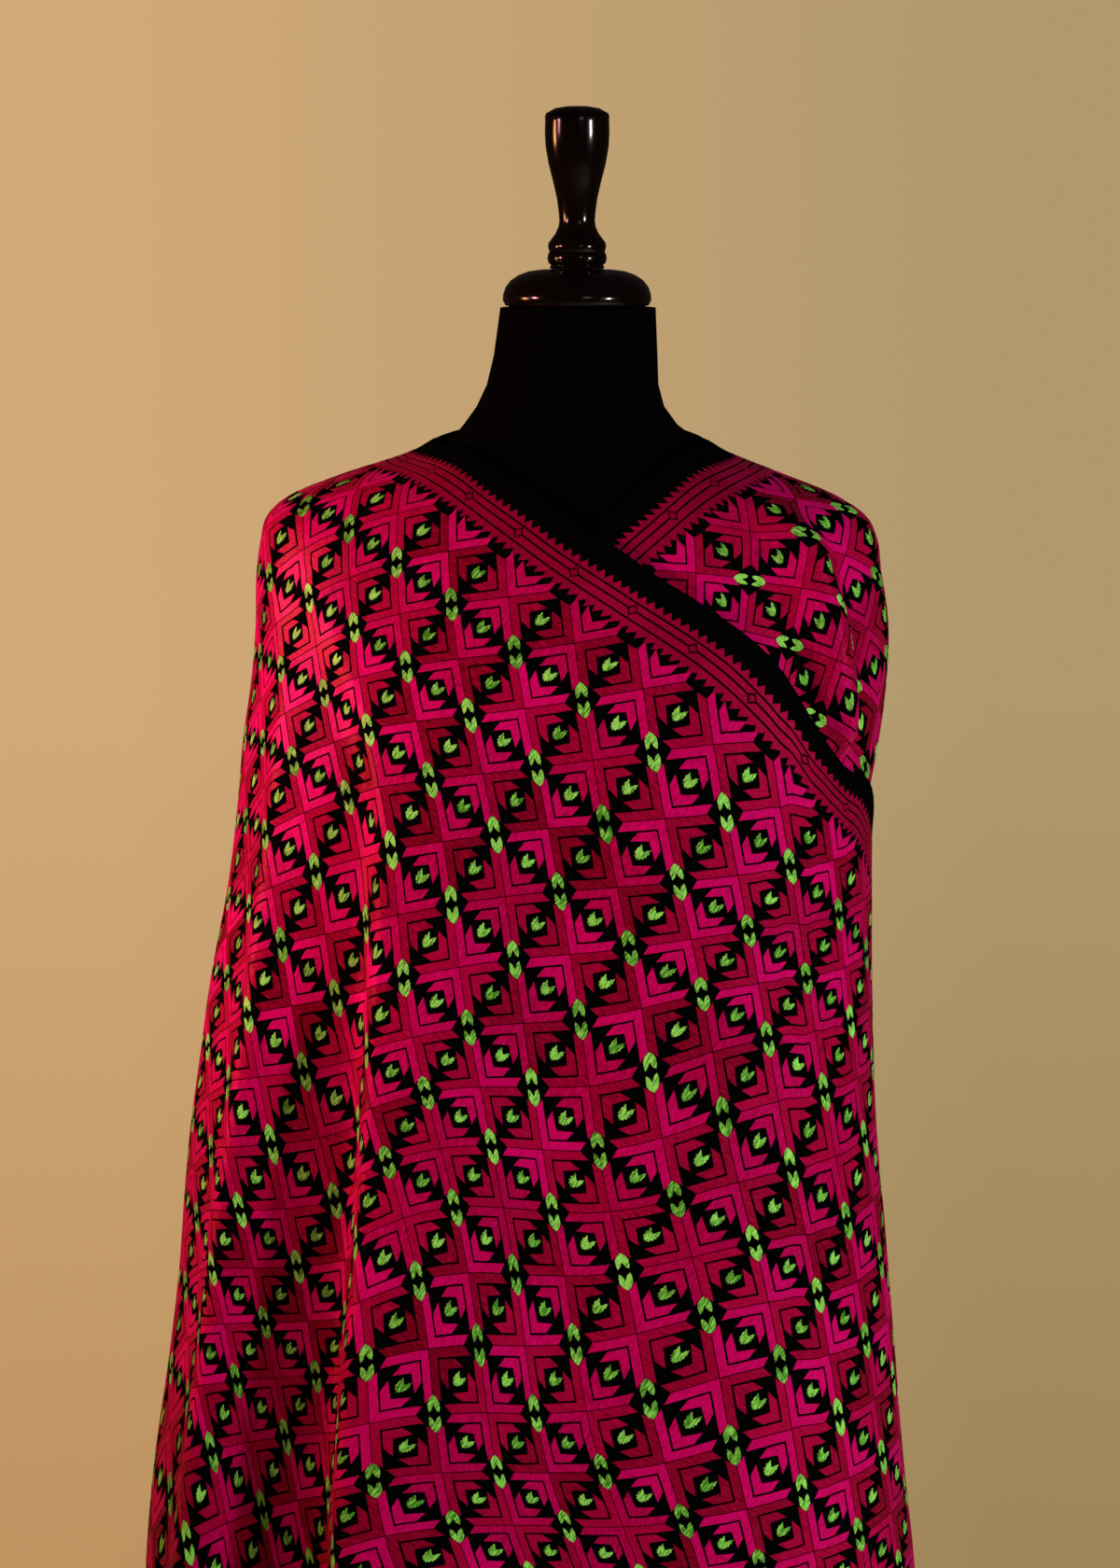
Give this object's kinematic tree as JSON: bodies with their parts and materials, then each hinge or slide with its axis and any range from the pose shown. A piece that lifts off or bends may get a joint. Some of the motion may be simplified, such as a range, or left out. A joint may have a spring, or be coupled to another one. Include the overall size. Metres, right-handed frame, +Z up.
{
  "type": "phulkari shawl on a dress form",
  "caption": "Embroidered phulkari shawl wrapped diagonally over the shoulders of a limbless black dress form with a turned wooden cap and finial.",
  "frame": {"origin": "centre of the base's underside, on the pole's axis", "axes": "+Z up along the pole, -Y toward the wearer's front, +X to the viewer's right"},
  "size_m": [0.5658, 0.3503, 1.6541],
  "materials": {
    "shawl_cloth": "black cotton embroidered in crimson, magenta and green silk",
    "black_jersey": "plain black knit, matt",
    "dark_wood": "very dark brown, glossy varnish"
  },
  "bodies": {
    "root": {"shawl_front_over": "shawl_cloth", "shawl_back": "shawl_cloth", "shawl_front_under": "shawl_cloth", "form_torso": "black_jersey", "neck_cap": "dark_wood", "finial": "dark_wood", "form_pole": "dark_wood", "form_base": "dark_wood"}
  },
  "joints": []
}
